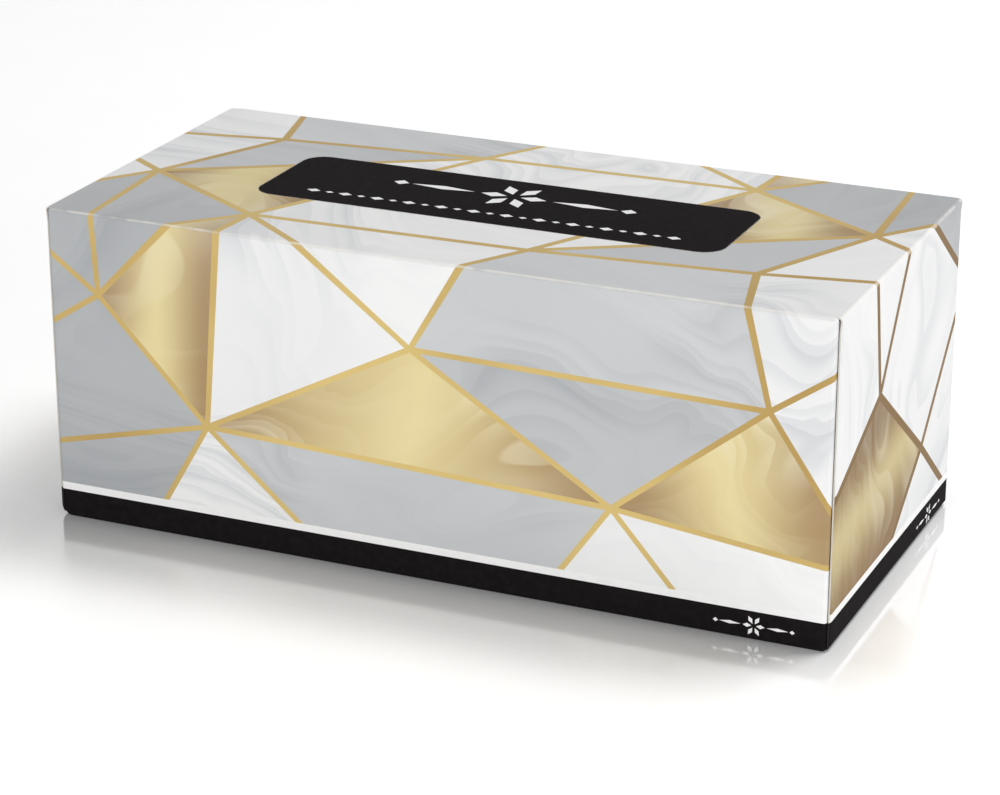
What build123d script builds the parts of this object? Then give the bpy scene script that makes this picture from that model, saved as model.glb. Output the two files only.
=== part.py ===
"""Flat carton of facial tissues, closed and unopened, as one sealed pack.

The carton is one sheet of folding board, creased and glued round its contents:

- the back, top, front and bottom panels wrap round the length of the box;
- the bottom panel laps over a glue tab that turns in under the back panel, so its cut
  edge is a small step along the back of the underside;
- at each end the dust flaps of the front and back fold in first, the bottom flap folds
  up over them, and the outer flap comes down last, as one fold with the top panel;
- a rounded window panel in the top is held by the nicks of a cut line, and tears out
  when the box is opened.

Nothing opens or shows through, so the pack is solid inside.

Millimetres. X runs along the length, Y from front to back and Z up. The origin is on
the underside, below the middle of the box.
"""

import os
from math import atan2, degrees

from build123d import *

# Overall size, over the folded board
length = 230.0
width = 110.0
height = 92.0

# Board and creased folds
board = 0.45  # thickness of the sheet
fold_radius = 1.0  # outer radius of a creased fold
blunt_radius = 3.0  # outer radius where the left end is blunted, below and at the back

# Glue tab under the back of the bottom panel
seam_inset = 1.4  # from the back panel in to the cut edge of the bottom panel

# Flaps that close the ends
outer_flap_inset = 1.0  # from the front or back panel to the side edge of the flap
bottom_flap_inset = 2.0  # the same, on the flap below it
bottom_flap_height = 58.0  # from the underside to the top edge of that flap
foot_gap = 0.4  # from the bottom fold up to the lower edge of the outer flap

# Tear-out panel in the top
tear_length = 139.0
tear_width = 39.0
tear_radius = 6.5  # its corners
cut_width = 0.3  # of the cut line round it
cut_length = 4.4  # one cut
nick_length = 0.9  # uncut board between two cuts

# Worked out from these
tube_length = length - 4 * board  # over the dust flaps, which lie under two more layers
bottom_flap_span = length - 2 * board  # over the bottom flaps, which lie under one
bottom_flap_width = width - 2 * bottom_flap_inset
outer_flap_width = width - 2 * outer_flap_inset


def nick_places():
    """Evenly spaced places on the outline of the tear-out panel, each turned along it."""
    with BuildSketch(mode=Mode.PRIVATE) as tear_panel:
        RectangleRounded(tear_length, tear_width, tear_radius)
    line = tear_panel.wire()
    count = round(line.length / (cut_length + nick_length))
    places = []
    for step in range(count):
        point = line @ (step / count)
        along = line % (step / count)
        places.append(Location((point.X, point.Y, 0), (0, 0, degrees(atan2(along.Y, along.X)))))
    return places


with BuildPart() as tissue_box:
    # The four wrapped panels, with the dust flaps folded in across their ends
    with BuildSketch(Plane.XY) as wrapped_panels:
        Rectangle(tube_length, width)
    extrude(amount=height)

    # Two folds at the left end are blunted, and all the others are creased
    left_end_folds = tissue_box.edges().group_by(Axis.X)[0]
    lower_left_fold = left_end_folds.sort_by(Axis.Z)[0]
    back_left_fold = left_end_folds.sort_by(Axis.Y)[-1]
    fillet([lower_left_fold, back_left_fold], blunt_radius)
    fillet(tissue_box.edges().filter_by(GeomType.LINE), fold_radius)

    # The step from the cut edge of the bottom panel up to the glue tab
    with BuildSketch(Plane.XY) as seam:
        with Locations((0, width / 2)):
            Rectangle(length, 2 * seam_inset)
    extrude(amount=board, mode=Mode.SUBTRACT)

    # The bottom flaps fold up at both ends of the bottom panel
    with BuildSketch(Plane.XZ.offset(-bottom_flap_width / 2)) as bottom_flaps:
        Rectangle(bottom_flap_span, bottom_flap_height, align=(Align.CENTER, Align.MIN))
        left_foot, right_foot = bottom_flaps.vertices().group_by(Axis.Y)[0].sort_by(Axis.X)
        fillet(left_foot, blunt_radius)
        fillet(right_foot, fold_radius)
    extrude(amount=bottom_flap_width)

    # The outer flaps come down from both ends of the top panel, each to its own bottom fold
    with BuildSketch(Plane.XZ.offset(-outer_flap_width / 2)) as outer_flaps:
        with Locations((0, height)):
            left_drop = height - blunt_radius - foot_gap
            Rectangle(length / 2, left_drop, align=(Align.MAX, Align.MAX))
            right_drop = height - fold_radius - foot_gap
            Rectangle(length / 2, right_drop, align=(Align.MIN, Align.MAX))
        fillet(outer_flaps.vertices().group_by(Axis.Y)[-1], fold_radius)
    extrude(amount=outer_flap_width)

    # The cut line round the tear-out panel, through the top panel between its nicks
    with BuildSketch(Plane.XY.offset(height)) as cut_line:
        RectangleRounded(
            tear_length + cut_width, tear_width + cut_width, tear_radius + cut_width / 2
        )
        RectangleRounded(
            tear_length - cut_width,
            tear_width - cut_width,
            tear_radius - cut_width / 2,
            mode=Mode.SUBTRACT,
        )
        with Locations(*nick_places()):
            Rectangle(nick_length, 3 * cut_width, mode=Mode.SUBTRACT)
    extrude(amount=-board, mode=Mode.SUBTRACT)

tissue_box.part.label = "tissue_box"

os.makedirs("parts", exist_ok=True)
export_step(tissue_box.part, "parts/tissue_box.step")
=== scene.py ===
"""Printed carton of facial tissues, folded from one flat sheet of board.

The sheet is drawn flat in millimetres, with its print, its creases and its cuts, and each
point of it is then carried to where it lies on the closed carton. The stage holds a pale
floor, soft lamps and the camera.
"""

import math
from collections import namedtuple

import bpy
from bpy.props import FloatProperty, FloatVectorProperty, PointerProperty
from bpy.types import Operator, Panel, PropertyGroup
from mathutils import Euler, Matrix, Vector, geometry


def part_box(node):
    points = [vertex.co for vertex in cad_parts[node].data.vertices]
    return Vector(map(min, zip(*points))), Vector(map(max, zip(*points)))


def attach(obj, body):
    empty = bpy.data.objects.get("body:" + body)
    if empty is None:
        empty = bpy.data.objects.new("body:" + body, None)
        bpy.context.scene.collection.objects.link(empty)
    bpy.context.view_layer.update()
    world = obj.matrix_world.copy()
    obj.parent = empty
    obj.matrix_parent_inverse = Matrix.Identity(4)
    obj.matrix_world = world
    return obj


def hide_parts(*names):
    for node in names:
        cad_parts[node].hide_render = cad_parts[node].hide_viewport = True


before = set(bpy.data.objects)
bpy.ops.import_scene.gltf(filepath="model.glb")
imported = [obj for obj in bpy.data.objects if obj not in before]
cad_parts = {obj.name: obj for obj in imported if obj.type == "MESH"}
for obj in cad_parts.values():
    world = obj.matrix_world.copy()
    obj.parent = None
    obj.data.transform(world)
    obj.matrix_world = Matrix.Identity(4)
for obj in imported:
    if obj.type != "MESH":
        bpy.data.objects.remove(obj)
solid_low, solid_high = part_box("tissue_box")
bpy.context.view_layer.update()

bl_info = {
    "name": "Tissue Carton",
    "version": (1, 0, 0),
    "blender": (4, 5, 0),
    "location": "View3D > Sidebar > Tissue Carton",
    "description": "Folds a printed carton of facial tissues from its flat sheet",
    "category": "Object",
}

MM = 0.001
QUARTER_TURN = math.pi / 2
STEPS = 5  # facets in the round of one creased fold
BLUNT_BEND = math.radians(9)  # turn of the board at one crease of a blunted fold
POUR = (0.6, 3.1, 0.8)  # which part of the poured marble the sheet shows
WEAR_AND_HIGHLIGHT = 0.55  # how far the folds take on the stretched ink's colour, partly worn ink and partly a painted highlight

# Flaps, in millimetres
LEFT_FLAP_GAP = 0.3  # from the floor up to the left outer flap, before its fold is blunted
RIGHT_FLAP_GAP = 0.4  # from the bottom fold up to the right outer flap
SIDE_PRESS = 0.25  # how far the sides of the outer flaps are pressed in
SIDE_RUN = 1.0  # width of the strip along a side that bends in
PRESS_RUN = 3.0  # how far below the top fold the sides come to lie all the way in
DUST_FLAP = 45.0  # height of a dust flap from its fold
BOTTOM_FLAP = 58.0  # from the underside to the top edge of a bottom flap
BOTTOM_FLAP_INSET = 1.0  # from a fold along the carton in to the side edge of a bottom flap
SEAM_INSET = 1.4  # from the back panel in to the cut edge of the bottom panel
TAB_WIDTH = 14.0  # of the glue tab
TAB_SLANT = 3.0  # how much shorter the tab's free edge is at each end

# Ink that runs on past an edge, in millimetres
UNDER_BLEED = 2.0  # of the black band, round the bottom folds
FLAP_BLEED = 5.0  # past the lower edge of an outer flap
SIDE_BLEED = 0.2  # past its sides
FOOT_STAIN = 3.0  # from an end, in under the bottom panel
PAST_END = 200.0  # beyond the end of every dust flap and bottom flap
PAST_SIDE = 60.0  # from the middle of the bottom panel to beyond its cut edge

# The cut line round the tear-out panel, in millimetres
CUT_PITCH = 5.3  # a cut and a nick
NICK_SHARE = 0.17  # of them that is the nick
HALF_CUT = 0.15  # half the width of a cut
SHORT_RUN = 0.1  # the shortest straight run that a cut has

# How exactly the sheet is cut and folded
VALID_FACES = 4  # asks for all faces that the drawn lines make
SNAP = 0.0001  # millimetres within which points on the flat sheet are one
WELD = 500  # steps to the millimetre, and corners in one step are one
FACES_UP = 0.999  # share of a normal, just under 1 because numbers are rounded
BLUNT_MARGIN = 0.1  # millimetres beyond the blunted folds that count with them
PROBE = 0.01  # millimetres between the points that give a blunted fold's normal

# Layout of the map on which each side of the sheet has its own place, in millimetres
MAP_SIZE = 860.0
MAP_MIDDLE = (215.0, 300.0)  # of the sheet's outside
MAP_ASIDE = (0.0, 430.0, 0.2)  # shift of the outside, the inside and the cut edges

# Where each lamp stands, its width and height, its watts, and whether it makes glare
LAMPS = {
    "key_lamp": ((0.62, 0.62, 1.68), (0.75, 0.75), 22.0, True),
    "front_lamp": ((-0.2, -1.92, 0.30), (1.4, 0.5), 13.5, False),
    "side_lamp": ((1.7, -1.0, 0.5), (1.2, 0.7), 11.0, False),
}
SENSOR_WIDTH = 36.0  # millimetres
GLOSS_AND_SHADOW_REACH = 0.05  # metres from the carton over which the floor's gloss and its painted shadow fade

# Corners of the mosaic in millimetres on the flat sheet, from the middle of the top panel.
# A name in capitals is the same corner turned half a turn, for the back and the left end.
FRONT_CORNERS = {
    "a": (-66, -112), "b": (-4, -80), "c": (54, -116), "d": (97, -82), "e": (-99, -78),
    "g": (30, -150), "i": (-124, -126), "j": (-88, -150), "k": (-22, -150), "o": (84, -150),
    "p": (126, -124), "q": (-124, -94), "u": (-124, -60), "z": (126, -62),
}
TOP_CORNERS = {
    "f": (-60, -38), "h": (22, -36), "l": (-103, -12), "r": (84, -30), "s": (148, -18),
    "t": (178, 24), "v": (214, -26), "w": (168, -62), "x": (140, 62), "y": (210, 64),
}
# Each gold line runs through the corners that it names
GOLD_LINES = """
    e a k, i a b d p, j a c p, a f, e f b c d r, q e u, e l f h, b h r, g c o,
    d z, r s w, f H, l H, l R, h L s, s t v, y t x L
"""
# A point inside each facet that isn't white, and how dark the facet is, from 0 to 1
GOLD_FACETS = [
    ((-40, -100), 0.0),
    ((100, -110), 0.1),
    ((-80, -66), 0.1),
    ((-80, -12), 0.3),
    # The facet on the end is made dark as painted shade of the end
    ((185, -25), 0.9),
]
GREY_FACETS = [
    ((60, -90), 0.5),
    ((-8, -125), 0.35),
    ((-100, -98), 1.0),
    ((-88, -42), 0.85),
    ((55, -55), 0.15),
    ((-75, 20), 0.6),
]

Fold = namedtuple("Fold", "start radius")


def size(name, description, metres):
    """A length that the user can change."""
    return FloatProperty(name=name, description=description, default=metres, unit="LENGTH")


class CartonSizes(PropertyGroup):
    """Sizes of the folded carton."""

    length: size("Length", "Length over both ends", solid_high.x - solid_low.x)
    width: size("Width", "From the front panel to the back panel", solid_high.y - solid_low.y)
    height: size("Height", "Height of the closed carton", solid_high.z - solid_low.z)
    board: size("Board", "Room that one layer of board takes up", 0.45 * MM)
    sheet: size("Sheet", "Thickness of the board, just under its room", 0.42 * MM)
    fold_radius: size("Fold Radius", "Outer radius of a creased fold", 1.0 * MM)
    blunt_radius: size("Blunt Radius", "Outer radius of the left end's blunted folds", 3.0 * MM)
    band: size("Black Band", "Height of the black band round the foot", 8.3 * MM)
    pinstripe: size("Pinstripe", "Height of the white stripe over the band", 2.2 * MM)
    front_line: size("Line on Front", "Width of a gold line on front and back", 1.6 * MM)
    top_line: size("Line on Top", "Width of a gold line on the top and the ends", 2.3 * MM)
    tear_length: size("Tear-out Length", "Length of the black tear-out panel", 139.0 * MM)
    tear_width: size("Tear-out Width", "Width of the black tear-out panel", 39.0 * MM)
    tear_radius: size("Tear-out Corners", "Corner radius of the tear-out panel", 6.5 * MM)


def ink(name, description, colour):
    """A colour that the user can change, given as it looks on screen."""
    linear = [((c / 255 + 0.055) / 1.055) ** 2.4 if c > 10 else c / 3294.6 for c in colour]
    return FloatVectorProperty(
        name=name,
        description=description,
        default=(*linear, 1.0),
        subtype="COLOR",
        size=4,
        min=0.0,
        max=1.0,
    )


class CartonInks(PropertyGroup):
    """Colours of the print and of the bare board."""

    white: ink("White", "White marble and the white stripe", (244, 244, 243))
    white_vein: ink("White Vein", "Streaks in the white marble", (208, 210, 213))
    grey: ink("Grey", "Light facets of grey marble", (205, 207, 209))
    grey_deep: ink("Deep Grey", "Dark facets of grey marble", (168, 171, 174))
    grey_vein: ink("Grey Vein", "Streaks in the grey marble", (150, 153, 157))
    gold_dark: ink("Dark Gold", "Shaded side of a gold facet", (174, 147, 109))
    gold_light: ink("Light Gold", "Bright middle of a gold facet", (231, 215, 161))
    # A deeper tone of some gold facets, and painted shade of the gold on the ends
    deep_gold_and_end_shade: ink("Brown Gold", "Gold on the ends of the carton", (132, 103, 60))
    # Lit and shaded copies of the same gold foil, for painted light and painted shade on the lines
    gold_line: ink("Gold Line", "Gold lines where they are bright", (219, 193, 126))
    gold_shade: ink("Shaded Gold Line", "Gold lines where they are darker", (182, 151, 92))
    black: ink("Black", "Black band and tear-out panel", (27, 24, 25))
    black_wear: ink("Worn Black", "Black ink where it is thin", (48, 45, 46))
    board: ink("Board", "Uncoated inside of the board", (196, 190, 178))
    cut: ink("Cut Edge", "Cut edge of the board", (206, 202, 195))
    # Laid along the top folds: partly ink stretched thin, partly a painted highlight
    stretched_ink_and_highlight: ink("Stretched Ink", "Ink stretched thin on the folds", (250, 246, 238))


class StageSizes(PropertyGroup):
    """Camera, floor and lamps."""

    camera_place: FloatVectorProperty(
        name="Camera",
        description="Where the camera stands",
        default=(0.3372, -0.7759, 0.3605),
        subtype="TRANSLATION",
        unit="LENGTH",
        size=3,
    )
    camera_heading: FloatProperty(
        name="Heading",
        description="How far the camera is turned to the left of straight back",
        default=math.radians(23.60),
        subtype="ANGLE",
    )
    camera_dip: FloatProperty(
        name="Dip",
        description="How far the camera looks down",
        default=math.radians(21.10),
        subtype="ANGLE",
    )
    lens: FloatProperty(
        name="Lens",
        description="Focal length in millimetres on a sensor 36 mm wide",
        default=115.15,
        unit="CAMERA",
    )
    room_light: FloatProperty(
        name="Room Light",
        description="Strength of the even light from all round",
        default=0.16,
        min=0.0,
    )
    floor_size: size("Floor", "Width of the floor", 12.0)


class Wire:
    """A number that varies over a surface, so that shader maths can be written out."""

    def __init__(self, nodes, socket):
        self.nodes = nodes
        self.socket = socket

    def maths(self, operation, *numbers):
        made = self.nodes.node("Math", {"operation": operation}, dict(enumerate(numbers)))
        return Wire(self.nodes, made[0])

    def __add__(self, other):
        return self.maths("ADD", self, other)

    __radd__ = __add__

    def __sub__(self, other):
        return self.maths("SUBTRACT", self, other)

    def __rsub__(self, other):
        return self.maths("SUBTRACT", other, self)

    def __mul__(self, other):
        return self.maths("MULTIPLY", self, other)

    __rmul__ = __mul__

    def __abs__(self):
        return self.maths("ABSOLUTE", self)

    def share(self):
        """What is left after the whole number."""
        return self.maths("FRACT", self)

    def over(self, other):
        """The larger of two numbers."""
        return self.maths("MAXIMUM", self, other)

    def ramp(self, low, high):
        """0 below low and 1 above high, and smooth between them."""
        settings = {"interpolation_type": "SMOOTHSTEP"}
        values = {"Value": self, "From Min": low, "From Max": high, "To Min": 0.0, "To Max": 1.0}
        return Wire(self.nodes, self.nodes.node("MapRange", settings, values)[0])


class Nodes:
    """The nodes of a material or of the world."""

    def __init__(self, tree):
        self.tree = tree

    def node(self, kind, settings=None, values=None):
        """Adds a node, with its settings first and then its values and links. Gives its outputs."""
        made = self.tree.nodes.new("ShaderNode" + kind)
        for setting, value in (settings or {}).items():
            setattr(made, setting, value)
        for key, value in (values or {}).items():
            self.link(value, made.inputs[key])
        return made.outputs

    def link(self, value, socket):
        """Gives a socket its value, or links it to what varies."""
        value = value.socket if isinstance(value, Wire) else value
        if isinstance(value, bpy.types.NodeSocket):
            self.tree.links.new(value, socket)
        else:
            socket.default_value = value


class Finish(Nodes):
    """One surface: a print or bare board on the carton, or the floor."""

    def __init__(self, name, shader_values=None):
        self.material = bpy.data.materials.new(name)
        self.material.use_nodes = True
        super().__init__(self.material.node_tree)
        self.shader = self.tree.nodes["Principled BSDF"]
        for socket, value in (shader_values or {}).items():
            self.feed(socket, value)

    def flat(self, name):
        """Coordinates of one of the sheet's maps, which are metres for the map of the blank."""
        return self.node("UVMap", {"uv_map": name})["UV"]

    def pair(self, coordinates):
        """The two numbers of a coordinate."""
        parts = self.node("SeparateXYZ", None, {"Vector": coordinates})
        return Wire(self, parts["X"]), Wire(self, parts["Y"])

    def noise(self, coordinates, scale, detail, roughness=0.5):
        values = {"Vector": coordinates, "Scale": scale, "Detail": detail, "Roughness": roughness}
        return self.node("TexNoise", {"noise_dimensions": "3D"}, values)

    def grain(self, coordinates, *shape):
        """A noise as a number."""
        return Wire(self, self.noise(coordinates, *shape)["Fac"])

    def vector(self, operation, values):
        return self.node("VectorMath", {"operation": operation}, values)["Vector"]

    def moved(self, coordinates, push, amount):
        """Coordinates pushed about by a noise."""
        centred = self.vector("SUBTRACT", {0: push, 1: (0.5, 0.5, 0.5)})
        scaled = self.vector("SCALE", {0: centred, "Scale": amount})
        return self.vector("ADD", {0: coordinates, 1: scaled})

    def blend(self, share, first, second):
        """A colour between two colours."""
        return self.node("Mix", {"data_type": "RGBA"}, {0: share, 6: first, 7: second})[2]

    def feed(self, socket, value):
        """Sets one of the shader's sockets."""
        self.link(value, self.shader.inputs[socket])

    def relief(self, height, distance, strength):
        values = {"Height": height, "Distance": distance, "Strength": strength}
        self.feed("Normal", self.node("Bump", None, values)["Normal"])


def liquid_swirls(finish):
    """Two numbers from 0 to 1 for poured marble: broad clouds, and the streaks that curl in it."""
    place = finish.vector("ADD", {0: finish.flat("blank"), 1: POUR})
    bent = finish.moved(place, finish.noise(place, 10.0, 0.0)["Color"], 0.20)
    curled = finish.moved(bent, finish.noise(bent, 24.0, 0.0)["Color"], 0.05)
    along, across = finish.pair(curled)
    flow = across * 34.0 + along * 9.0
    drift = finish.grain(curled, 30.0, 1.0)
    wide = (flow + drift).share()
    fine = (flow * 3.0 + drift * 2.0).share()
    streaks = wide.ramp(0.2, 0.95) * (1 - wide.ramp(0.96, 1.0)) * 0.6
    threads = fine.ramp(0.3, 0.92) * (1 - fine.ramp(0.94, 1.0)) * 0.4
    where = finish.grain(place, 17.0, 1.0).ramp(0.4, 0.6)
    clouds = finish.grain(bent, 8.0, 1.0).ramp(0.3, 0.7)
    return clouds, (streaks + threads) * (where * 0.8 + 0.2)


def worn_and_highlit_folds(finish, sizes):
    """1 along the creased folds of the top, where the ink is stretched thin and a highlight is
    painted, and 0 elsewhere.
    """
    along, across = finish.pair(finish.flat("blank"))
    middle = 0.5 * sizes.fold_radius * QUARTER_TURN
    long_fold = abs(abs(across) - (sizes.width / 2 - sizes.fold_radius + middle))
    end_fold = abs(abs(along) - (sizes.length / 2 - sizes.fold_radius + middle))
    on_top = 1 - (abs(across) - sizes.width / 2).ramp(0.0, 0.001)
    end_line = (1 - end_fold.ramp(0.0001, 0.0009)) * on_top
    line = (1 - long_fold.ramp(0.0001, 0.0006)).over(end_line)
    patches = finish.grain(finish.flat("blank"), 160.0, 3.0)
    return line * patches.ramp(0.25, 0.6)


def varnish(finish, sizes, low=0.30, high=0.40):
    """Even print varnish: fine pores in the board, and a roughness that wanders a little."""
    place = finish.flat("blank")
    wander = finish.grain(place, 35.0, 2.0)
    worn_and_highlit = worn_and_highlit_folds(finish, sizes)
    finish.feed("Roughness", wander * (high - low) + low + worn_and_highlit * 0.2)
    pores = finish.grain(place, 900.0, 2.0, 0.6)
    cockle = finish.grain(place, 14.0, 1.0)
    finish.relief(pores * 0.12 + cockle * 2.0, 0.0001, 0.35)
    return worn_and_highlit


def printed(finish, worn_and_highlit, colour, inks):
    """Lays a colour on a surface, thinner on the folds and with a painted highlight there, and
    gives the material.
    """
    finish.feed("Base Color", finish.blend(worn_and_highlit * WEAR_AND_HIGHLIGHT, colour, inks.stretched_ink_and_highlight))
    return finish.material


def white_marble(sizes, inks):
    finish = Finish("white_marble", {"Specular IOR Level": 0.15})
    worn_and_highlit = varnish(finish, sizes)
    clouds, streaks = liquid_swirls(finish)
    colour = finish.blend(clouds * 0.25 + streaks * 0.75, inks.white, inks.white_vein)
    return printed(finish, worn_and_highlit, colour, inks)


def grey_marble(sizes, inks):
    finish = Finish("grey_marble", {"Specular IOR Level": 0.15})
    worn_and_highlit = varnish(finish, sizes)
    clouds, streaks = liquid_swirls(finish)
    _, tone = finish.pair(finish.flat("sheen"))
    colour = finish.blend(tone, inks.grey, inks.grey_deep)
    colour = finish.blend(streaks * (tone * 0.25 + 0.4), colour, inks.grey_vein)
    colour = finish.blend(clouds * 0.12, colour, inks.white)
    return printed(finish, worn_and_highlit, colour, inks)


def gold_marble(sizes, inks):
    finish = Finish("gold_marble", {"Metallic": 0.1, "Specular IOR Level": 0.03})
    worn_and_highlit = varnish(finish, sizes)
    clouds, streaks = liquid_swirls(finish)
    across, tone = finish.pair(finish.flat("sheen"))
    ridge = 1 - abs(across * 2 - 1)
    share = (ridge + (clouds - 0.5) * 0.3 + (streaks - 0.3) * 0.3).ramp(0.05, 1.0)
    colour = finish.blend(share, inks.gold_dark, inks.gold_light)
    # The tone deepens a facet; on the end facet it is painted shade
    colour = finish.blend(tone * (1 - share * 0.6), colour, inks.deep_gold_and_end_shade)
    colour = finish.blend(streaks * 0.25, colour, inks.white)
    return printed(finish, worn_and_highlit, colour, inks)


def gold_print(sizes, inks):
    """Gold lines with painted light and shade: bright in the middle, painted shade towards the
    corners, on the top and along a broad noise, and painted shade that turns them brown on the
    ends.
    """
    finish = Finish("gold_line", {"Metallic": 0.1, "Specular IOR Level": 0.02})
    worn_and_highlit = varnish(finish, sizes, 0.28, 0.38)
    along, across = finish.pair(finish.flat("blank"))
    on_end = (abs(along) - sizes.length / 2).ramp(-0.001, 0.001)
    on_top = (sizes.width / 2 - abs(across)).ramp(-0.001, 0.001)
    painted_shade_to_corner = abs(along).ramp(0.03, 0.11)
    # Painted shade on the foil: a broad noise along the lines, more towards the corners, a little
    # on the top
    drift = finish.grain(finish.flat("blank"), 13.0, 2.0)
    share = (drift.ramp(0.38, 0.68) * 0.6 + painted_shade_to_corner * 0.4).over(on_top * 0.25)
    colour = finish.blend(share, inks.gold_line, inks.gold_shade)
    # Painted shade: the lines turn brown on the ends
    colour = finish.blend(on_end, colour, inks.deep_gold_and_end_shade)
    return printed(finish, worn_and_highlit, colour, inks)


def plain_ink(name, sizes, colour, speck, amount, shine=0.25):
    """One ink, or the coated board, with specks of a second colour."""
    finish = Finish(name, {"Specular IOR Level": shine})
    worn_and_highlit = varnish(finish, sizes, 0.32, 0.42)
    mottle = finish.grain(finish.flat("blank"), 420.0, 3.0, 0.6)
    shade = finish.blend(mottle.ramp(0.35, 0.75) * amount, colour, speck)
    # Along the folds the speck colour is blended in by the mask of worn ink and painted highlight
    finish.feed("Base Color", finish.blend(worn_and_highlit * 0.35, shade, speck))
    return finish.material


def bare_board(name, sizes, body, fibre, stain):
    """Uncoated board, with short fibres in it, stained round the foot of both ends."""
    finish = Finish(name)
    place = finish.flat("blank")
    pulp = finish.grain(place, 700.0, 4.0, 0.65)
    specks = finish.grain(place, 260.0, 1.0)
    colour = finish.blend(pulp.ramp(0.3, 0.7) * 0.5 + specks.ramp(0.62, 0.7) * 0.3, body, fibre)
    along, across = finish.pair(place)
    drop = sizes.height + (QUARTER_TURN - 2) * sizes.fold_radius - sizes.band
    on_flap = (abs(along) - (sizes.length / 2 + drop)).ramp(-0.0002, 0.0002)
    on_side = (abs(across) - (sizes.width / 2 + drop)).ramp(-0.0002, 0.0002)
    at_end = (abs(along) - sizes.length / 2).ramp(-0.003, -0.002)
    finish.feed("Base Color", finish.blend(on_flap.over(on_side * at_end), colour, stain))
    finish.feed("Roughness", pulp * 0.1 + 0.75)
    finish.relief(pulp, 0.0001, 0.5)
    return finish.material


def rectangle(left, low, right, high):
    return [(left, low), (right, low), (right, high), (left, high)]


def span(side, near, far):
    """Two distances from the middle on one side of it, the lower one first."""
    return sorted((side * near, side * far))


def rounded_outline(length, width, radius, steps):
    """Points round a rectangle with round corners, against the clock."""
    points = []
    for number, (x, y) in enumerate([(1, -1), (1, 1), (-1, 1), (-1, -1)]):
        for step in range(steps + 1):
            angle = (number - 1 + step / steps) * QUARTER_TURN
            across = x * (length / 2 - radius) + radius * math.cos(angle)
            up = y * (width / 2 - radius) + radius * math.sin(angle)
            points.append((across, up))
    return points


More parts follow.
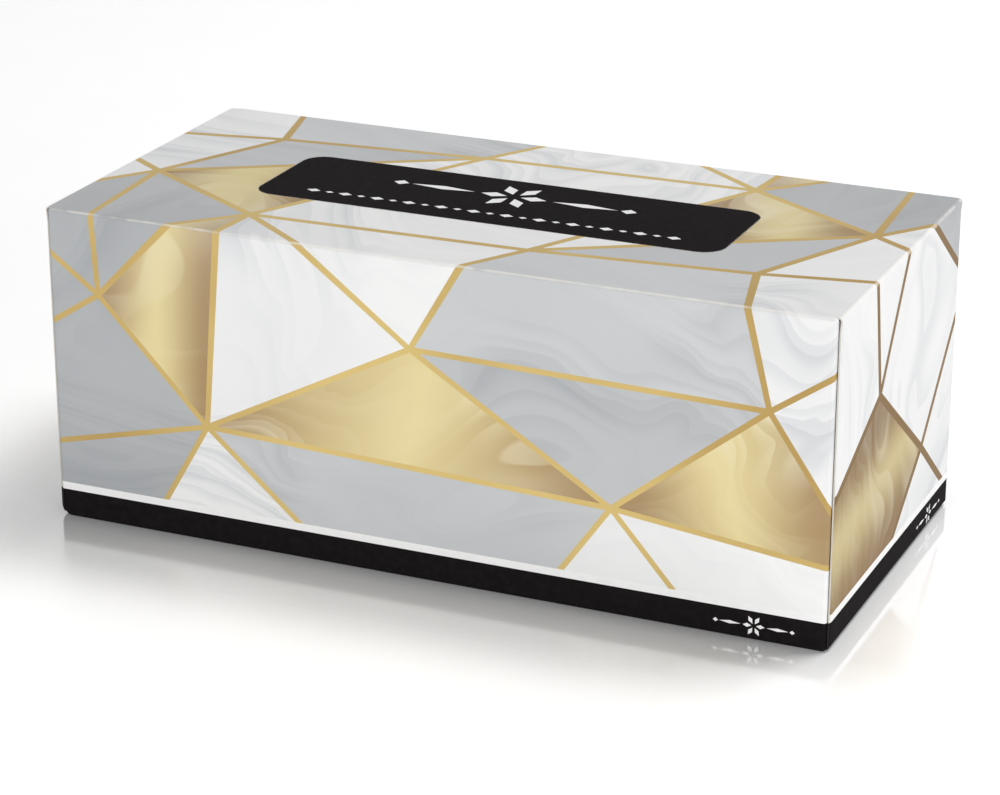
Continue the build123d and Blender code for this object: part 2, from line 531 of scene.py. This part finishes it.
class Blank:
    """The flat sheet: its panels, print, creases and cuts, and how it folds round."""

    def __init__(self, sizes):
        # Each of the carton's sizes under its own name, in millimetres
        for name in CartonSizes.__annotations__:
            setattr(self, name, getattr(sizes, name) / MM)
        self.radius, self.blunt = self.fold_radius, self.blunt_radius
        self.round = self.radius * QUARTER_TURN  # length of board in one fold
        self.reach = self.width / 2 - self.radius  # from the middle of a panel to its fold
        self.drop = self.height - 2 * self.radius  # from fold to fold on the front panel
        self.tube_reach = self.length / 2 - 2 * self.board  # under the two layers of end flaps
        self.points, self.shapes, self.kinds, self.edges = [], [], [], []
        self.draw_panels()
        self.draw_print()

    def add(self, points, kind):
        first = len(self.points)
        self.points += [Vector(p) for p in points]
        self.shapes.append(list(range(first, len(self.points))))
        self.kinds.append(kind)

    def crease(self, start, end):
        first = len(self.points)
        self.points += [Vector(start), Vector(end)]
        self.edges.append((first, first + 1))

    def strip(self, low, high, left, right, start):
        """One stretch of the sheet that folds over at both ends from start on."""
        self.add(rectangle(-left, low, right, high), Fold(start, self.radius))
        for step in range(STEPS + 1):
            for end in (-1, 1):
                across = end * (start + self.round * step / STEPS)
                if -left < across < right:
                    self.crease((across, low), (across, high))

    def round_strip(self, near, side, reach, start):
        """One fold along the carton, in facets."""
        for step in range(STEPS + 1):
            level = side * (near + self.round * step / STEPS)
            self.crease((-reach, level), (reach, level))
        low, high = span(side, near, near + self.round)
        self.strip(low, high, reach, reach, start)

    def draw_panels(self):
        outer = self.length / 2 - self.radius
        tube = self.tube_reach - self.radius
        under = outer - self.board
        self.dust_fold = tube + self.round
        # How far out on the sheet the floor comes, on the outer flaps and on front and back
        self.flap_level = outer + self.round + self.height - self.radius
        self.band_level = self.reach + self.round + self.height - self.radius
        left = self.flap_level - LEFT_FLAP_GAP
        right = self.flap_level - self.radius - RIGHT_FLAP_GAP
        self.strip(-self.reach, self.reach, left, right, outer)
        for end in (-1, 1):
            start = end * (outer + self.round)
            below = start + end * PRESS_RUN
            self.crease((below, -self.reach), (below, self.reach))
            for side in (-1, 1):
                level = side * (self.reach - SIDE_RUN)
                self.crease((start, level), (end * self.flap_level, level))
        fold = self.reach + self.round
        dust_end = self.dust_fold + DUST_FLAP
        for side, lift in ((-1, 0.0), (1, self.board)):
            foot = fold + self.drop - lift
            self.round_strip(self.reach, side, self.dust_fold, tube)
            low, high = span(side, fold, foot)
            self.strip(low, high, dust_end, dust_end, tube)
            self.round_strip(foot, side, self.dust_fold, tube)
        # The bottom panel hangs on the front panel, and the glue tab on the back panel
        self.under_level = fold + self.drop + self.round
        middle = self.under_level + self.reach
        near = self.under_level + BOTTOM_FLAP_INSET
        far = middle + self.reach - BOTTOM_FLAP_INSET
        seam = middle + self.width / 2 - SEAM_INSET
        bottom_end = under + self.round + BOTTOM_FLAP - self.radius
        self.strip(-far, -near, bottom_end, bottom_end, under)
        self.strip(-near, -self.under_level, self.dust_fold, self.dust_fold, tube)
        self.strip(-seam, -far, self.dust_fold, self.dust_fold, tube)
        tab = fold + self.drop - self.board + self.round
        rim = tab + TAB_WIDTH
        self.add(
            [(TAB_SLANT - tube, rim), (-tube, tab), (tube, tab), (tube - TAB_SLANT, rim)],
            Fold(tube, self.radius),
        )
        self.far_level = middle + PAST_SIDE
        self.crease_blunt_folds(dust_end, under + self.round, bottom_end, middle, far)

    def crease_blunt_folds(self, dust_end, bottom_fold, bottom_end, middle, far):
        """Creases that let the two blunted folds of the left end bend in facets."""
        fold = self.reach + self.round
        flat = self.blunt - self.radius  # of each panel, from where the blunted fold starts
        bend = 0.0
        while self.blunt * math.tan(bend) < flat:
            step = self.blunt * math.tan(bend)
            bend += BLUNT_BEND
            rise = flat - step
            across = self.blunt - self.tube_reach - step
            self.crease((across, -self.far_level), (across, self.far_level))
            # The foot of each panel and flap, where the bottom fold is blunted
            for side in (-1, 1):
                level = side * (self.band_level - self.blunt + step)
                self.crease((across, level), (-dust_end, level))
            foot = self.blunt - step - self.flap_level
            self.crease((foot, -self.reach), (foot, self.reach))
            foot = -(bottom_fold + rise)
            self.crease((foot, -far), (foot, -self.under_level))
            # The back of each panel and flap, where the back fold is blunted
            back = self.reach - rise
            self.crease((across, back), (-self.flap_level, back))
            self.crease((across, -(middle + back)), (-bottom_end, -(middle + back)))
            turn = -(self.dust_fold + rise)
            self.crease((turn, fold), (turn, fold + self.drop))

    def draw_print(self):
        band, stripe = self.band, self.pinstripe
        foot, end = self.band_level, self.flap_level
        bleed = self.under_level + UNDER_BLEED
        edge = self.reach + SIDE_BLEED
        for side in (-1, 1):
            for near, far, kind in (
                (foot - band, bleed, "black"),
                (foot - band - stripe, foot - band, "stripe"),
                (bleed, self.far_level, "plain"),
            ):
                low, high = span(side, near, far)
                self.add(rectangle(-PAST_END, low, PAST_END, high), kind)
            for near, far, kind in (
                (end - band, end + FLAP_BLEED, "black"),
                (end - band - stripe, end - band, "stripe"),
            ):
                low, high = span(side, near, far)
                self.add(rectangle(low, -edge, high, edge), kind)
            low, high = span(side, self.length / 2 - FOOT_STAIN, PAST_END)
            self.add(rectangle(low, -self.far_level, high, -self.under_level), "black")
        self.draw_lines()
        self.draw_tear_panel()

    def corner(self, name):
        """A corner of the mosaic and half the width of the lines there."""
        x, y = {**FRONT_CORNERS, **TOP_CORNERS}[name.lower()]
        wide = self.front_line if name.lower() in FRONT_CORNERS else self.top_line
        turn = -1 if name.isupper() else 1
        return Vector((turn * x, turn * y)), wide / 2

    def draw_lines(self):
        drawn, dots = set(), set()
        for chain in GOLD_LINES.split(","):
            names = chain.split()
            for pair in zip(names, names[1:]):
                for first, second in (pair, (pair[0].swapcase(), pair[1].swapcase())):
                    if frozenset((first, second)) in drawn:
                        continue
                    drawn.add(frozenset((first, second)))
                    dots |= {first, second}
                    (start, start_half), (end, end_half) = self.corner(first), self.corner(second)
                    way = (end - start).orthogonal().normalized()
                    near, far = way * start_half, way * end_half
                    self.add([end - far, end + far, start + near, start - near], "line")
        for name in sorted(dots):
            middle, half = self.corner(name)
            reach = 1.05 * half  # a little more than the lines that it joins
            angles = [k * math.pi / 6 for k in range(12)]
            ring = [middle + reach * Vector((math.cos(a), math.sin(a))) for a in angles]
            self.add(ring, "line")

    def draw_tear_panel(self):
        outline = rounded_outline(self.tear_length, self.tear_width, self.tear_radius, 8)
        self.add(outline, "tear")
        self.cut_round(outline)
        self.draw_marks()

    def cut_round(self, outline):
        """Short cuts through the board round the tear-out panel, with nicks between them."""
        ring = [Vector(p) for p in outline] + [Vector(outline[0])]
        runs = [(b - a).length for a, b in zip(ring, ring[1:])]
        total = sum(runs)
        count = round(total / CUT_PITCH)
        starts = [0.0]
        for run in runs:
            starts.append(starts[-1] + run)

        def at(distance):
            distance %= total
            index = max(k for k in range(len(runs)) if starts[k] <= distance)
            along = (ring[index + 1] - ring[index]).normalized()
            return ring[index] + along * (distance - starts[index]), along.orthogonal()

        for number in range(count):
            begin = (number + NICK_SHARE / 2) * total / count
            end = (number + 1 - NICK_SHARE / 2) * total / count
            stops = [begin, *(s for s in starts if begin + SHORT_RUN < s < end - SHORT_RUN), end]
            middle = [at(s) for s in stops]
            inner = [p - n * HALF_CUT for p, n in middle]
            outer = [p + n * HALF_CUT for p, n in middle]
            self.add(inner + outer[::-1], "slot")

    def draw_marks(self):
        """A plain ornament on the tear-out panel, and small ones near the ends of the band."""
        self.ornament((0, 5.5), (1, 0), 1.3)
        count, pitch, row = 23, 4.9, -11  # of the row of lozenges in front of it
        for number in range(count):
            tall = (2.6, 1.6)[number % 2]
            self.lozenge((pitch * (number - count // 2), row), (1, 0), 1.6 * tall, tall)
        level, end = self.band_level - self.band / 2, self.flap_level - self.band / 2
        along, across, small = 94.5, 35, 0.4  # places and scale of the small ones
        for side in (-1, 1):
            self.ornament((-side * along, side * level), (1, 0), small)
            self.ornament((side * end, side * across), (0, 1), small)

    def ornament(self, middle, way, scale):
        """A rosette of six lozenges, with a long and a short one on each side of it."""
        middle, way = Vector(middle), Vector(way)
        for petal in range(6):
            angle = petal * math.pi / 3
            out = way * math.cos(angle) + Vector((-way.y, way.x)) * math.sin(angle)
            self.lozenge(middle + out * 4.6 * scale, out, 6.0 * scale, 3.0 * scale)
        for side in (-1, 1):
            self.lozenge(middle + side * way * 16.5 * scale, way, 15.0 * scale, 2.3 * scale)
            self.lozenge(middle + side * way * 26.5 * scale, way, 3.6 * scale, 2.9 * scale)

    def lozenge(self, middle, way, long, tall):
        middle, way = Vector(middle), Vector(way)
        up = Vector((-way.y, way.x)) * tall / 2
        along = way * long / 2
        self.add([middle - along, middle - up, middle + along, middle + up], "mark")

    def around(self, along, side):
        """Place and outward way, round the carton, of a distance from the middle of the top."""
        lift = self.board if side > 0 else 0.0
        left = along - self.reach
        centre_y = side * self.reach
        if left <= 0:
            return (side * along, self.height), (0.0, 1.0)
        if left <= self.round:
            angle = left / self.radius
            out, up = side * math.sin(angle), math.cos(angle)
            level = self.height - self.radius * (1 - up)
            return (centre_y + self.radius * out, level), (out, up)
        left -= self.round
        drop = self.drop - lift
        if left <= drop:
            return (side * self.width / 2, self.height - self.radius - left), (side, 0.0)
        left -= drop
        if left <= self.round:
            angle = left / self.radius
            out, up = side * math.cos(angle), -math.sin(angle)
            return (centre_y + self.radius * out, lift + self.radius * (1 + up)), (out, up)
        left -= self.round
        return (side * (self.reach - left), lift), (0.0, -1.0)

    def folded(self, spot, fold, depth):
        """Point of the closed carton for a spot on the flat sheet, at a depth in the board."""
        side = 1 if spot[1] > 0 else -1
        end = 1 if spot[0] > 0 else -1
        (y, z), (out, up) = self.around(abs(spot[1]), side)
        over = abs(spot[0]) - fold.start
        pressed = 0.0
        if over <= 0:
            x, angle, sunk = abs(spot[0]), 0.0, 0.0
        else:
            angle = min(over / fold.radius, QUARTER_TURN)
            x = fold.start + fold.radius * math.sin(angle)
            sunk = fold.radius * (1 - math.cos(angle)) + max(0.0, over - self.round)
            if up > FACES_UP and over > self.round:
                # The sides of the outer flaps are pressed in towards the dust flaps
                pressed = SIDE_PRESS * max(0.0, abs(spot[1]) - self.reach + SIDE_RUN) / SIDE_RUN
                pressed *= min(1.0, (over - self.round) / PRESS_RUN)
                x -= pressed
        normal = Vector((end * math.sin(angle), out * math.cos(angle), up * math.cos(angle)))
        point = Vector((end * x, y - out * sunk, z - up * sunk)) - depth * normal
        normal = (normal + Vector((0.0, side * pressed, 0.0))).normalized()
        return point, normal

    def blunted(self, point):
        """Rounds the bottom fold and the back fold of the left end over a larger radius."""
        x, y, z = point
        centre_x = self.blunt - self.tube_reach
        centre_y = self.width / 2 - self.blunt
        centre_z = self.blunt
        x, z = rounded_in(x, z, centre_x, centre_z, -1, -1)
        x, y = rounded_in(x, y, centre_x, centre_y, -1, 1)
        return Vector((x, y, z))

    def placed(self, spot, fold, depth):
        """Point and outward normal after the blunted folds are taken into account."""
        point, normal = self.folded(spot, fold, depth)
        if point.x > self.blunt - self.tube_reach + BLUNT_MARGIN:
            return point, normal
        first = normal.orthogonal().normalized()
        second = normal.cross(first)
        moved = self.blunted(point)
        side_a = self.blunted(point + PROBE * first) - moved
        side_b = self.blunted(point + PROBE * second) - moved
        return moved, side_a.cross(side_b).normalized()


def rounded_in(first, second, centre_first, centre_second, way_first, way_second):
    """Presses the square corner beyond a centre into a round one."""
    a = way_first * (first - centre_first)
    b = way_second * (second - centre_second)
    if a <= 0 or b <= 0:
        return first, second
    scale = max(a, b) / math.hypot(a, b)
    return centre_first + way_first * a * scale, centre_second + way_second * b * scale


def holds(corners, point):
    """Whether a flat shape holds a point."""
    inside = False
    for a, b in zip(corners, corners[1:] + corners[:1]):
        if (a[1] > point[1]) != (b[1] > point[1]):
            if point[0] < a[0] + (point[1] - a[1]) * (b[0] - a[0]) / (b[1] - a[1]):
                inside = not inside
    return inside


def distinct(ring):
    """Places in a ring of corners whose corner differs from the one before."""
    return [n for n in range(len(ring)) if ring[n] != ring[n - 1]]


FINISHES = ("white", "grey", "gold", "line", "black", "stripe", "plain", "cut", "inside")

# The finish of each thing that is drawn on the sheet, with what covers the others first
LAYERS = {
    "mark": "stripe",
    "black": "black",
    "stripe": "stripe",
    "tear": "black",
    "plain": "plain",
    "line": "line",
}


class Arrangement:
    """The flat sheet cut into pieces of one finish each."""

    def __init__(self, blank):
        spots, _, faces, _, _, sources = geometry.delaunay_2d_cdt(
            blank.points, blank.edges, blank.shapes, VALID_FACES, SNAP, True
        )
        self.spots = [tuple(s) for s in spots]
        self.faces, self.folds, self.finishes = [], [], []
        for face, origins in zip(faces, sources):
            kinds = [blank.kinds[k] for k in origins]
            folds = [k for k in kinds if isinstance(k, Fold)]
            if not folds or "slot" in kinds:
                continue
            self.faces.append(list(face))
            self.folds.append(folds[0])
            self.finishes.append(next((LAYERS[k] for k in LAYERS if k in kinds), None))
        self.find_facets()

    def find_facets(self):
        """Joins the parts of each facet of the mosaic, and gives it its finish."""
        neighbours = {}
        for number, face in enumerate(self.faces):
            if self.finishes[number] is None:
                for edge in zip(face, face[1:] + face[:1]):
                    neighbours.setdefault(frozenset(edge), []).append(number)
        beside = {}
        for first, second in (pair for pair in neighbours.values() if len(pair) == 2):
            beside.setdefault(first, []).append(second)
            beside.setdefault(second, []).append(first)
        self.facets, self.facet_of, self.tones = [], {}, {}
        for number, finish in enumerate(self.finishes):
            if finish is not None or number in self.facet_of:
                continue
            members, waiting = [], [number]
            self.facet_of[number] = len(self.facets)
            while waiting:
                current = waiting.pop()
                members.append(current)
                for other in beside.get(current, []):
                    if other not in self.facet_of:
                        self.facet_of[other] = len(self.facets)
                        waiting.append(other)
            self.facets.append(members)
        for finish, seeds in (("gold", GOLD_FACETS), ("grey", GREY_FACETS)):
            for (x, y), tone in seeds:
                for seed in ((x, y), (-x, -y)):
                    facet = self.facet_at(seed)
                    self.tones[facet] = tone
                    for member in self.facets[facet]:
                        self.finishes[member] = finish
        self.finishes = [finish or "white" for finish in self.finishes]

    def facet_at(self, seed):
        for number, face in enumerate(self.faces):
            if number in self.facet_of and holds([self.spots[k] for k in face], seed):
                return self.facet_of[number]
        raise RuntimeError(f"no facet of the mosaic is free at {seed}")

    def sheen_way(self, facet):
        """The way that the gold sheen runs across a facet, and how far it reaches."""
        lean = 0.35 * math.sin(1.7 * facet)  # another one for each facet
        way = Vector((math.cos(lean), math.sin(lean)))
        spots = (self.spots[k] for member in self.facets[facet] for k in self.faces[member])
        reach = [Vector(spot).dot(way) for spot in spots]
        return way, min(reach), max(reach)


class TISSUE_OT_fold_carton(Operator):
    """Fold the printed carton from its flat sheet"""

    bl_idname = "tissue.fold_carton"
    bl_label = "Fold Carton"

    def execute(self, context):
        sizes, inks = context.scene.carton_sizes, context.scene.carton_inks
        blank = Blank(sizes)
        flat = Arrangement(blank)
        carton = self.fold(blank, flat)
        self.finish(carton, sizes, inks)
        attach(carton, "root")
        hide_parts("tissue_box")
        return {"FINISHED"}

    def fold(self, blank, flat):
        points, numbers = [], {}

        def vertex(spot, fold, depth):
            point, normal = blank.placed(spot, fold, depth)
            key = (depth > 0, *(round(c * WELD) for c in point))
            if key not in numbers:
                numbers[key] = len(points)
                points.append(point * MM)
            return numbers[key], normal

        faces, finishes, normals, sources = [], [], [], []

        def lay(ring, ways, finish, source, order=1):
            """Adds a face without the corners that have come together. Gives those it kept."""
            kept = distinct(ring)[::order]
            if len(kept) > 2:
                faces.append([ring[n] for n in kept])
                normals.append([ways[n] for n in kept])
                finishes.append(finish)
                sources.append([source[n] for n in kept])
            return kept

        edges = {}
        drawn = zip(flat.faces, flat.folds, flat.finishes)
        for number, (face, fold, finish) in enumerate(drawn):
            outer, ways = zip(*(vertex(flat.spots[k], fold, 0.0) for k in face))
            inner, inner_ways = zip(*(vertex(flat.spots[k], fold, blank.sheet) for k in face))
            kept = lay(outer, ways, finish, [(number, k, 0) for k in face])
            if len(kept) < 3:
                continue
            lay(inner, [-way for way in inner_ways], "inside", [(number, k, 1) for k in face], -1)
            for before, after in zip(kept, kept[1:] + kept[:1]):
                edge = (outer[before], outer[after])
                if edge[::-1] in edges:
                    del edges[edge[::-1]]
                else:
                    edges[edge] = (
                        [outer[after], outer[before], inner[before], inner[after]],
                        [(number, face[k], 2) for k in (after, before, before, after)],
                    )
        # An edge of only one face is a cut edge of the board
        for rim, source in edges.values():
            kept = distinct(rim)
            if len(kept) > 2:
                a, b, c = (points[rim[n]] for n in kept[:3])
                lay(rim, [(b - a).cross(c - a).normalized()] * len(rim), "cut", source)

        mesh = bpy.data.meshes.new("printed_carton")
        mesh.from_pydata(points, [], faces)
        mesh.polygons.foreach_set("material_index", [FINISHES.index(f) for f in finishes])
        self.map_sheet(mesh, flat, sources)
        mesh.update()
        if mesh.validate(verbose=True):
            raise RuntimeError("the folded sheet has faces that can't be used")
        mesh.normals_split_custom_set([tuple(n) for group in normals for n in group])
        carton = bpy.data.objects.new("printed_carton", mesh)
        bpy.context.scene.collection.objects.link(carton)
        return carton

    def map_sheet(self, mesh, flat, sources):
        """Maps of the flat sheet, of each facet's sheen and tone, and of both sides apart."""
        maps = {"blank": [], "sheen": [], "OFBake": []}
        ways = [flat.sheen_way(facet) for facet in range(len(flat.facets))]
        for number, spot, layer in (corner for group in sources for corner in group):
            place = Vector(flat.spots[spot])
            facet = flat.facet_of.get(number, 0)
            way, low, high = ways[facet]
            share = (place.dot(way) - low) / (high - low)
            right, up = MAP_MIDDLE
            maps["blank"].extend(place * MM)
            maps["sheen"].extend((share, flat.tones.get(facet, 0.0)))
            maps["OFBake"].append((place.x + right + MAP_ASIDE[layer]) / MAP_SIZE)
            maps["OFBake"].append((place.y + up) / MAP_SIZE)
        for name in maps:
            mesh.uv_layers.new(name=name)
        for name, numbers in maps.items():
            mesh.uv_layers[name].uv.foreach_set("vector", numbers)

    def finish(self, carton, sizes, inks):
        made = {
            "white": white_marble(sizes, inks),
            "grey": grey_marble(sizes, inks),
            "gold": gold_marble(sizes, inks),
            "line": gold_print(sizes, inks),
            "black": plain_ink("black_ink", sizes, inks.black, inks.black_wear, 0.2, 0.002),
            "stripe": plain_ink("white_ink", sizes, inks.white, inks.white_vein, 0.15),
            "plain": plain_ink("coated_board", sizes, inks.grey, inks.grey_vein, 0.8),
            "cut": bare_board("cut_edge", sizes, inks.cut, inks.board, inks.black),
            "inside": bare_board("board_inside", sizes, inks.board, inks.grey_vein, inks.board),
        }
        for name in FINISHES:
            carton.data.materials.append(made[name])


class TISSUE_OT_set_stage(Operator):
    """Set up the floor, the lamps and the camera"""

    bl_idname = "tissue.set_stage"
    bl_label = "Set Stage"

    def execute(self, context):
        stage = context.scene.stage_sizes
        self.floor(context, stage)
        self.room(context, stage)
        for name, lamp in LAMPS.items():
            self.lamp(context, name, *lamp)
        camera = bpy.data.cameras.new("photo_camera")
        camera.lens = stage.lens
        camera.sensor_width = SENSOR_WIDTH
        holder = bpy.data.objects.new("photo_camera", camera)
        holder.location = stage.camera_place
        holder.rotation_euler = Euler((QUARTER_TURN - stage.camera_dip, 0, stage.camera_heading))
        context.scene.collection.objects.link(holder)
        context.scene.camera = holder
        context.scene.view_settings.view_transform = "Standard"
        return {"FINISHED"}

    def lamp(self, context, name, place, spread, power, glare):
        light = bpy.data.lights.new(name, "AREA")
        light.energy = power
        light.shape = "RECTANGLE"
        light.size, light.size_y = spread
        holder = bpy.data.objects.new(name, light)
        holder.location = place
        holder.rotation_euler = (-Vector(place)).to_track_quat("-Z", "Y").to_euler()
        holder.visible_glossy = glare
        context.scene.collection.objects.link(holder)

    def floor(self, context, stage):
        half = stage.floor_size / 2
        mesh = bpy.data.meshes.new("floor")
        corners = [(x, y, 0) for x, y in rectangle(-half, -half, half, half)]
        mesh.from_pydata(corners, [], [(0, 1, 2, 3)])
        floor = bpy.data.objects.new("floor", mesh)
        context.scene.collection.objects.link(floor)
        finish = Finish("pale_floor", {"IOR": 1.5, "Emission Strength": 0.24})
        place = finish.node("NewGeometry")["Position"]
        across, deep = finish.pair(place)
        away = (abs(across) - solid_high.x).over(0.0) + (abs(deep) - solid_high.y).over(0.0)
        far = away.ramp(0.0, GLOSS_AND_SHADOW_REACH)
        # Next to the carton the floor glows less, as a painted shadow, and that painted shadow is
        # lighter off the right end than elsewhere
        less_painted_shadow_off_end = across.ramp(solid_high.x - 0.02, solid_high.x + 0.005)
        glow_with_painted_shadow = far + (less_painted_shadow_off_end * 0.35 + 0.2) * (1 - far)
        grain = finish.grain(place, 40.0, 3.0)
        finish.feed("Base Color", finish.blend(grain, (0.96, 0.96, 0.96, 1), (1, 1, 1, 1)))
        finish.feed("Metallic", (1 - far) * 0.2)
        finish.feed("Roughness", far * 0.3 + 0.08)
        finish.feed("Emission Color", finish.blend(glow_with_painted_shadow, (0, 0, 0, 1), (1, 1, 1, 1)))
        mesh.materials.append(finish.material)

    def room(self, context, stage):
        world = bpy.data.worlds.new("pale_room")
        world.use_nodes = True
        room = Nodes(world.node_tree)
        even = room.tree.nodes["Background"]
        room.link(stage.room_light, even.inputs["Strength"])
        room.link((1, 1, 1, 1), even.inputs["Color"])
        white = room.node("Background", None, {"Color": (1, 1, 1, 1)})
        rays = room.node("LightPath")
        seen = Wire(room, rays["Is Camera Ray"])
        for ray in ("Is Glossy Ray", "Is Transmission Ray"):
            seen = seen.over(rays[ray])
        choice = room.node("MixShader", None, {0: seen, 1: even.outputs[0], 2: white[0]})
        room.link(choice[0], room.tree.nodes["World Output"].inputs["Surface"])
        context.scene.world = world


class TISSUE_PT_carton(Panel):
    """Sizes, colours and steps of the carton"""

    bl_idname = "TISSUE_PT_carton"
    bl_label = "Tissue Carton"
    bl_space_type = "VIEW_3D"
    bl_region_type = "UI"
    bl_category = "Tissue Carton"

    def draw(self, context):
        for group, kind in GROUPS.items():
            box = self.layout.box()
            for name in kind.__annotations__:
                box.prop(getattr(context.scene, group), name)
        self.layout.operator(TISSUE_OT_fold_carton.bl_idname)
        self.layout.operator(TISSUE_OT_set_stage.bl_idname)


GROUPS = {"carton_sizes": CartonSizes, "carton_inks": CartonInks, "stage_sizes": StageSizes}
CLASSES = (*GROUPS.values(), TISSUE_OT_fold_carton, TISSUE_OT_set_stage, TISSUE_PT_carton)


def register():
    for made in CLASSES:
        bpy.utils.register_class(made)
    for group, kind in GROUPS.items():
        setattr(bpy.types.Scene, group, PointerProperty(type=kind))


def unregister():
    for group in GROUPS:
        delattr(bpy.types.Scene, group)
    for made in reversed(CLASSES):
        bpy.utils.unregister_class(made)


def main():
    register()
    bpy.ops.tissue.fold_carton()
    bpy.ops.tissue.set_stage()


if __name__ == "__main__":
    main()
